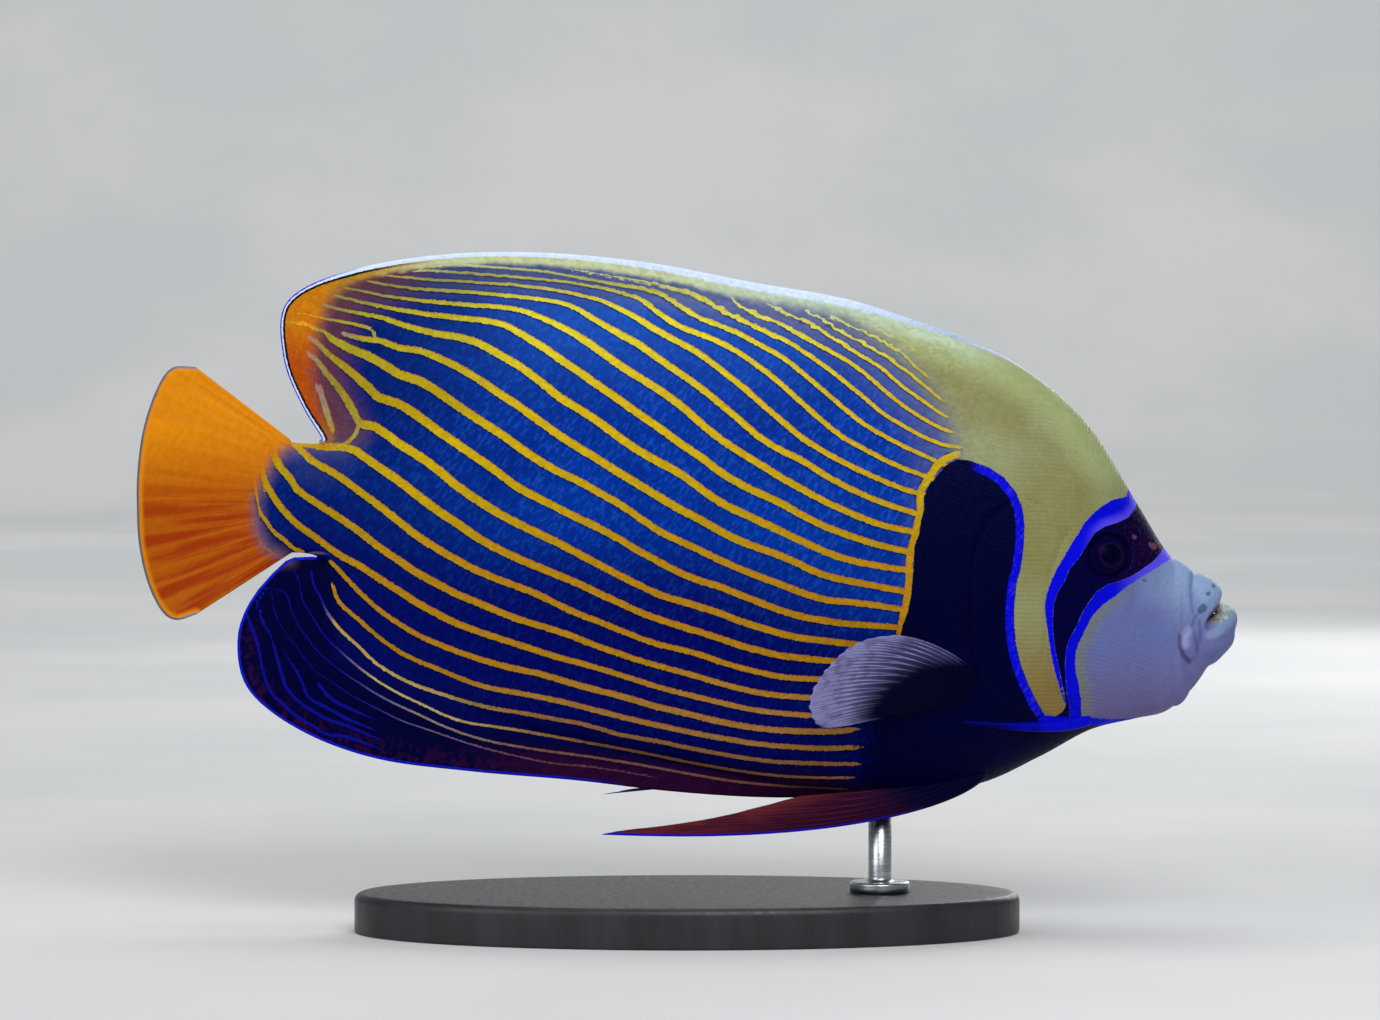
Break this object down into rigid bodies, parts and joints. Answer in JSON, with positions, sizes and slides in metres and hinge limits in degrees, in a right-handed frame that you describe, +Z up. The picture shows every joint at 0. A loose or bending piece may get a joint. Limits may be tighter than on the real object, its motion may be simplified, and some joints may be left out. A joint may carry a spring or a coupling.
{
  "type": "emperor angelfish model",
  "caption": "Life-size still model of an adult emperor angelfish, seen swimming, held by a steel rod over an oval black base.",
  "frame": {"origin": "middle of the base's underside, on the floor", "axes": "+X towards the fish's mouth, +Y to its left side, +Z up"},
  "size_m": [0.3301, 0.1, 0.2042],
  "materials": {
    "blue_skin": "satin, painted with golden stripes",
    "yellow_skin": "satin, with a black mask edged in blue",
    "pale_skin": "satin",
    "orange_fin": "satin",
    "pale_fin": "satin",
    "dark_fin": "satin",
    "spine_blue": "gloss",
    "eye_dark": "polished",
    "base_black": "satin",
    "rod_steel": "brushed"
  },
  "bodies": {
    "root": {"head": "yellow_skin", "trunk": "blue_skin", "tail_stalk": "blue_skin", "upper_lip": "pale_skin", "lower_jaw": "pale_skin", "dorsal_fin": "blue_skin", "anal_fin": "blue_skin", "tail_fin": "orange_fin", "gill_cover_right": "yellow_skin", "gill_cover_left": "yellow_skin", "cheek_spine_right": "spine_blue", "cheek_spine_left": "spine_blue", "eye_right": "eye_dark", "eye_left": "eye_dark", "pectoral_fin_right": "pale_fin", "pectoral_fin_left": "pale_fin", "pelvic_fin_right": "dark_fin", "pelvic_fin_left": "dark_fin", "stand_base": "base_black", "stand_rod": "rod_steel"}
  },
  "joints": []
}
